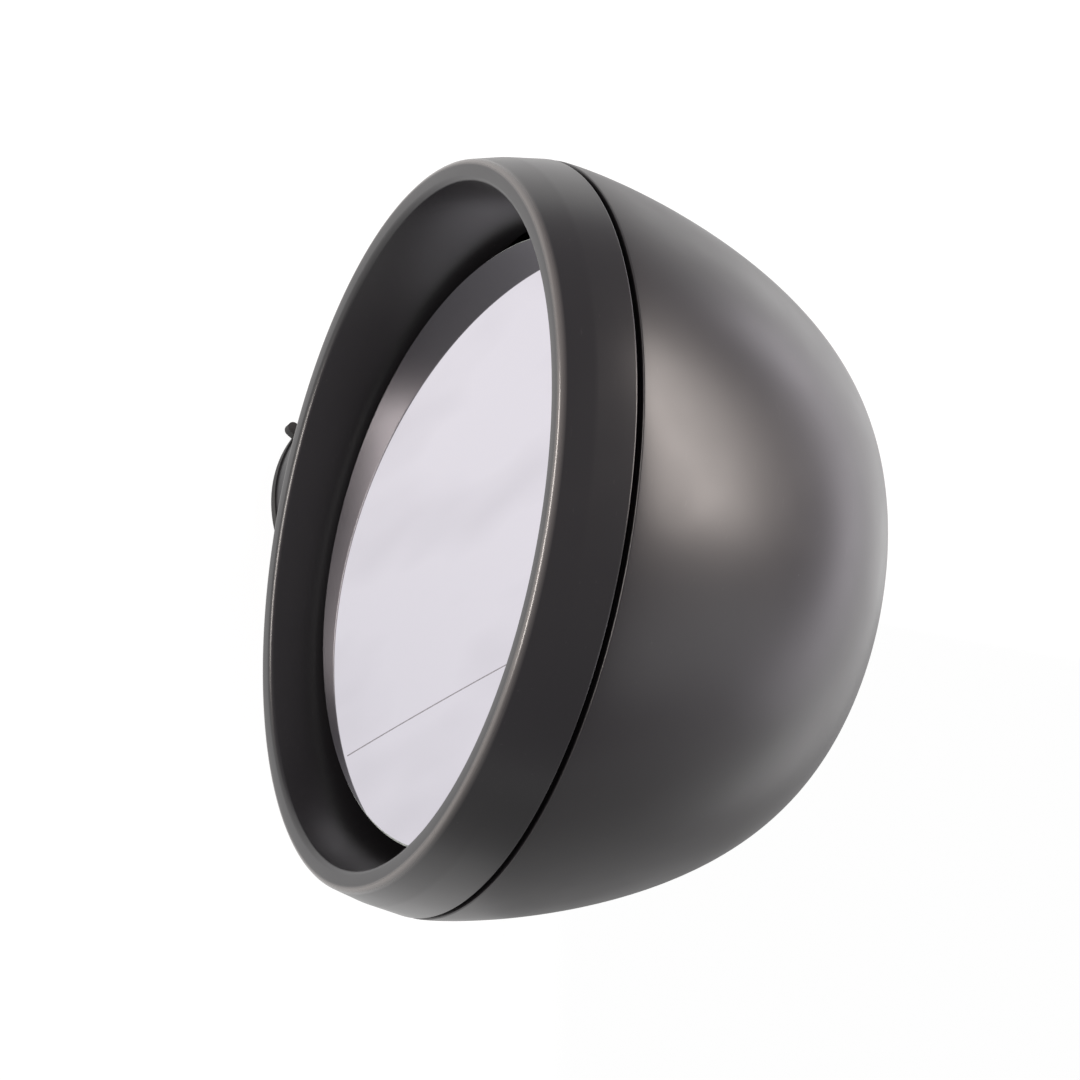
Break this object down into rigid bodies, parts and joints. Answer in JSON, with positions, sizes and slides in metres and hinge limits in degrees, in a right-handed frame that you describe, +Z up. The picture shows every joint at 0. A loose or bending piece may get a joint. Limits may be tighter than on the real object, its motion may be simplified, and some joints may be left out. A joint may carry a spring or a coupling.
{
  "type": "door mirror",
  "caption": "Round exterior door mirror with a folding dome-backed head on a bolt-on foot and a recessed, tilting convex glass.",
  "frame": {"origin": "centre of the foot's mounting face, on the fold axis", "axes": "+Z up along the fold axis, out of the mounting face; +X outboard; +Y to the front of the vehicle, so the glass faces -Y"},
  "size_m": [0.16, 0.0973, 0.1839],
  "materials": {
    "cast_aluminium": "die-cast, black-passivated satin",
    "rubber": "matt EPDM",
    "nylon": "natural acetal",
    "shell_plastic": "fine-grained satin black ABS",
    "bezel_plastic": "satin black ABS",
    "case_plastic": "black glass-filled PA",
    "screw_steel": "zinc-plated",
    "spring_steel": "oiled spring steel",
    "motor_steel": "drawn steel can",
    "mirror_glass": "silvered convex glass",
    "pad_film": "heater film with adhesive",
    "brass": "hobbed brass"
  },
  "bodies": {
    "foot": {"foot": "cast_aluminium", "foot_gasket": "rubber", "pivot_seal": "rubber", "friction_washer": "nylon"},
    "head": {"bracket": "cast_aluminium", "housing_shell": "shell_plastic", "bezel_ring": "bezel_plastic", "actuator_housing": "case_plastic", "actuator_cover": "case_plastic", "case_screws": "screw_steel", "shell_screws": "screw_steel", "vertical_motor": "motor_steel", "side_motor": "motor_steel", "thrust_washer": "screw_steel", "fold_spring": "spring_steel", "spring_washer": "screw_steel", "circlip": "spring_steel"},
    "gimbal": {"gimbal_ring": "nylon", "gimbal_cross_pin": "screw_steel", "gimbal_hub_pins": "screw_steel"},
    "glass": {"mirror_glass": "mirror_glass", "heater_pad": "pad_film", "glass_carrier": "case_plastic"},
    "vertical_jackscrew": {"vertical_jackscrew": "nylon"},
    "side_jackscrew": {"side_jackscrew": "nylon"},
    "vertical_nut": {"vertical_nut_wheel": "nylon"},
    "side_nut": {"side_nut_wheel": "nylon"},
    "vertical_pinion": {"vertical_pinion": "brass"},
    "side_pinion": {"side_pinion": "brass"}
  },
  "joints": [
    {"name": "fold", "type": "hinge", "parent": "foot", "child": "head", "pos_m": [0, 0, 0], "axis": [0, 0, 1], "range_deg": [-65, 60]},
    {"name": "glass_tilt_up_down", "type": "hinge", "parent": "head", "child": "gimbal", "pos_m": [0.0477, -0.01312, 0.10238], "axis": [-1, 0, 0], "range_deg": [-19.4, 0.6]},
    {"name": "glass_tilt_in_out", "type": "hinge", "parent": "gimbal", "child": "glass", "pos_m": [0.0477, -0.01312, 0.10238], "axis": [0, 0.1633, 0.9866], "range_deg": [-9, 9]},
    {"name": "vertical_jackscrew_slide", "type": "slide", "parent": "head", "child": "vertical_jackscrew", "axis": [0, -1, 0], "range_m": [-0.0095, 0.0015]},
    {"name": "side_jackscrew_slide", "type": "slide", "parent": "head", "child": "side_jackscrew", "axis": [0, -1, 0], "range_m": [-0.0046, 0.0046]},
    {"name": "vertical_nut_spin", "type": "hinge", "parent": "head", "child": "vertical_nut", "pos_m": [0.0477, -0.01753, 0.07575], "axis": [0, -1, 0], "range_deg": [-830, 60]},
    {"name": "side_nut_spin", "type": "hinge", "parent": "head", "child": "side_nut", "pos_m": [0.0747, -0.01312, 0.10238], "axis": [0, -1, 0], "range_deg": [-385, 385]},
    {"name": "vertical_pinion_spin", "type": "hinge", "parent": "head", "child": "vertical_pinion", "pos_m": [0.0351, -0.01753, 0.07575], "axis": [0, -1, 0], "range_deg": [-120, 2660]},
    {"name": "side_pinion_spin", "type": "hinge", "parent": "head", "child": "side_pinion", "pos_m": [0.0747, -0.01312, 0.11498], "axis": [0, -1, 0], "range_deg": [-1280, 1280]}
  ],
  "couplings": [
    {"joint": "vertical_jackscrew_slide", "follows": "glass_tilt_up_down", "m_per_rad": 0.026871},
    {"joint": "vertical_nut_spin", "follows": "glass_tilt_up_down", "ratio": 42.209},
    {"joint": "vertical_pinion_spin", "follows": "glass_tilt_up_down", "ratio": -135.07},
    {"joint": "side_jackscrew_slide", "follows": "glass_tilt_in_out", "m_per_rad": -0.027},
    {"joint": "side_nut_spin", "follows": "glass_tilt_in_out", "ratio": -42.411},
    {"joint": "side_pinion_spin", "follows": "glass_tilt_in_out", "ratio": 135.72}
  ]
}
